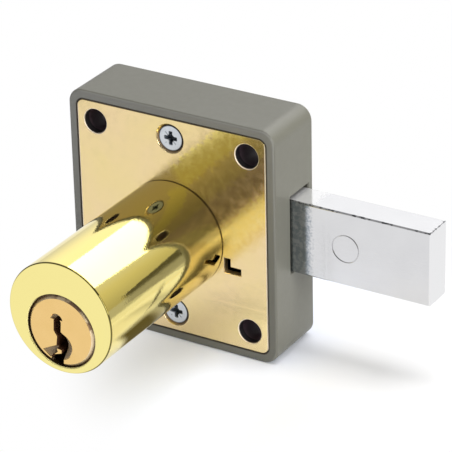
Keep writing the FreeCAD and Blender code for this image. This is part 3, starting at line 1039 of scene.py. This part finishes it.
def ring_mark(tree, where):
    out = off_axis(tree, where, MARK_X, MARK_Z)
    inner = slope(tree, out, MARK_R - 0.3, MARK_R - 0.26)
    outer = slope(tree, out, MARK_R - 0.04, MARK_R + 0.02, 1.0, 0.0)
    depth = axis_of(tree, where, "Y")
    on_front = slope(tree, depth, BOLT_FRONT + 0.35, BOLT_FRONT + 0.45, 0.6, 0.0)
    return both_of(tree, both_of(tree, inner, outer), on_front)


print("ring mark: %.1f mm across" % (2 * MARK_R))

# %% Darken the bolt beside the case, a painted reflection
def ragged_reach(tree, where, x):
    scatter = both_of(tree, noise(tree, where, 0.5, 5.0), steady(tree, 3.0))
    return both_of(tree, x, scatter, "ADD")


# Painted reflection: the metal beside the case is painted darker and bluer, most on the
# front, as the case's grey side mirrored.
def case_reflection_mark(tree, where, reach, y):
    front = slope(tree, y, BOLT_FRONT + 0.03, BOLT_FRONT + 0.35, 1.0, 0.25)
    dark_zone = both_of(tree, slope(tree, reach, 27.2, 28.8, 1.0, 0.0), front)
    blotches = slope(tree, noise(tree, where, 0.7, 4.0), 0.4, 0.62, 1.0, 0.6)
    return both_of(tree, dark_zone, blotches)


def dull_foot(tree, reach, y):
    beside_case = slope(tree, reach, 27.6, 29.4, 1.0, 0.0)
    return both_of(tree, beside_case, slope(tree, y, BOLT_FRONT + 0.15, BOLT_FRONT + 0.45))


print("bolt: front at %.2f mm, end at %.1f mm" % (BOLT_FRONT, BOLT_END))

# %% Plate the bolt
RING_NICKEL, PAINTED_END_LIGHT = (0.66, 0.66, 0.67), (0.82, 0.82, 0.83)
PAINTED_CASE_REFLECTION, FOOT_NICKEL, DARK_EDGE_LINE = (0.30, 0.335, 0.37), (0.74, 0.74, 0.75), (0.18, 0.18, 0.19)


def satin_nickel():
    finish, tree, shader = new_finish("satin_nickel", (0.65, 0.65, 0.66), 1.0, 0.1)
    where = place_in_mm(tree)
    x, y = axis_of(tree, where, "X"), axis_of(tree, where, "Y")
    stretched = vector_step(tree, "MULTIPLY", where, (0.15, 1, 1)).outputs[0]
    grain = noise(tree, stretched, 0.5)
    drift = noise(tree, where, 6.0)
    tone = two_tones(tree, drift, (0.66, 0.66, 0.675), (0.73, 0.73, 0.745))
    ring = ring_mark(tree, where)
    tone = shaded(tree, tone, ring, RING_NICKEL)
    # Painted light: the end face is painted a little paler than the front.
    end_face = slope(tree, x, BOLT_END - 0.2, BOLT_END - 0.1)
    tone = shaded(tree, tone, end_face, PAINTED_END_LIGHT)
    reach = ragged_reach(tree, where, x)
    tone = shaded(tree, tone, case_reflection_mark(tree, where, reach, y), PAINTED_CASE_REFLECTION)
    foot = dull_foot(tree, reach, y)
    tone = shaded(tree, tone, foot, FOOT_NICKEL)
    tone = shaded(tree, tone, ragged_dark_edges(tree, where), DARK_EDGE_LINE)
    join(tree, tone, shader.inputs["Base Color"])
    matte = both_of(tree, foot, ring, "MAXIMUM")
    join(tree, slope(tree, matte, 0, 1, 1.0, 0.6), shader.inputs["Metallic"])
    rough_range(tree, grain, shader, 0.08, 0.17)
    pits = both_of(tree, grain, noise(tree, where, 0.7, 5.0), "ADD")
    relief(tree, pits, shader, 0.012, 0.5)
    return finish


dress("bolt", satin_nickel())
print("bolt plated")

# %% [markdown]
# ## The small steel pieces
# The cover screws are bright zinc with a dark cross recess. The recess is real, but so
# small that its corners catch light, so the material darkens it a little more. Clips,
# drivers and the little rack and pinion live inside, in plain oiled steel.

# %% Finish the cover screws
ZINC_EDGE, RECESS_SHADE = (0.20, 0.21, 0.22), (0.075, 0.09, 0.115)


def cross_recess(tree, where, out):
    deep = slope(tree, axis_of(tree, where, "Y"), 0.44, 0.6)
    side = axis_of(tree, where, "X", True)
    height = axis_of(tree, where, "Z", True)
    height = both_of(tree, height, steady(tree, HOLE_Z), "SUBTRACT")
    wide, tall = both_of(tree, side, side), both_of(tree, height, height)
    narrow = both_of(tree, wide, tall, "MINIMUM")
    cross = slope(tree, narrow, 0.10, 0.20, 1.0, 0.0)
    middle = slope(tree, out, 1.3, 1.5, 1.0, 0.0)
    return both_of(tree, both_of(tree, deep, cross, "MAXIMUM"), middle)


def bright_zinc():
    finish, tree, shader = new_finish("bright_zinc", (0.74, 0.76, 0.79), 1.0, 0.22)
    where = place_in_mm(tree)
    drift = noise(tree, where, 0.7)
    tone = two_tones(tree, drift, (0.56, 0.59, 0.63), (0.68, 0.71, 0.75))
    out = off_axis(tree, where, 0, HOLE_Z, True)
    tone = shaded(tree, tone, slope(tree, out, 2.3, 2.45), ZINC_EDGE)
    recess = cross_recess(tree, where, out)
    join(tree, shaded(tree, tone, recess, RECESS_SHADE), shader.inputs["Base Color"])
    shine = both_of(tree, steady(tree, 1.0), recess, "SUBTRACT")
    join(tree, shine, shader.inputs["Metallic"])
    rough_range(tree, noise(tree, where, 0.6), shader, 0.15, 0.3)
    return finish


zinc = bright_zinc()
screws = ("cover_screw_upper", "cover_screw_lower")
for name in screws:
    dress(name, zinc)
print("screws:", len(screws))

# %% Finish the inner pieces
def oiled_steel():
    finish, tree, shader = new_finish("oiled_steel", (0.42, 0.42, 0.42), 1.0, 0.35)
    where = place_in_mm(tree)
    drift = noise(tree, where, 1.0)
    tone = two_tones(tree, drift, (0.34, 0.33, 0.32), (0.48, 0.48, 0.48))
    join(tree, tone, shader.inputs["Base Color"])
    rough_range(tree, noise(tree, where, 0.5), shader, 0.25, 0.45)
    return finish


steel = oiled_steel()
inner = ["cylinder_circlip", "plug_clip", "bolt_leaf_spring", "drive_pinion", "bolt_rack",
         "rack_rivet_1", "rack_rivet_2"]
inner += ["driver_pin_%d" % number for number in range(1, 6)]
for name in inner:
    dress(name, steel)
print("inner pieces:", len(inner))

# %% [markdown]
# ## The pin springs
# A spring has one end on the chamber's plug and the other on its driver pin, and the pin
# moves. Each coil is wound as a tube of fine faces from the top of the chamber down to
# the pin.

# %% Shape one coil
COIL_R, WIRE_R, TURNS = 1.1, 0.13, 3
SPRING_LOW, SPRING_TOP = 5.7, 8.2
STEPS, SIDES = 24, 8


def coil_points(y):
    points = []
    low, high = SPRING_LOW + WIRE_R, SPRING_TOP - WIRE_R
    count = STEPS * TURNS
    for k in range(count + 1):
        turn = 2 * math.pi * k / STEPS
        out = Vector((math.cos(turn), math.sin(turn), 0))
        middle = Vector((0, y, low + (high - low) * k / count)) + out * COIL_R
        for j in range(SIDES):
            a = 2 * math.pi * j / SIDES
            lift = Vector((0, 0, WIRE_R * math.sin(a)))
            points.append((middle + out * WIRE_R * math.cos(a) + lift) * MM)
    return points


def coil_faces():
    count = STEPS * TURNS
    last = count * SIDES
    faces = [tuple(range(SIDES)), tuple(range(last + SIDES - 1, last - 1, -1))]
    for k in range(count):
        for j in range(SIDES):
            here, other = k * SIDES + j, k * SIDES + (j + 1) % SIDES
            faces.append((other, here, here + SIDES, other + SIDES))
    return faces


print("faces in a coil:", len(coil_faces()))

# %% Wind the pin springs
def coil(name, y):
    mesh = bpy.data.meshes.new(name)
    mesh.from_pydata(coil_points(y), [], coil_faces())
    mesh.polygons.foreach_set("use_smooth", [True] * len(mesh.polygons))
    return link_piece(name, mesh)


for number, row in enumerate(PIN_ROWS, 1):
    spring = coil("coil_%d" % number, row)
    spring.data.materials.append(steel)
    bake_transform(spring)
    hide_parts("pin_spring_%d" % number)
print("springs wound:", len(PIN_ROWS))
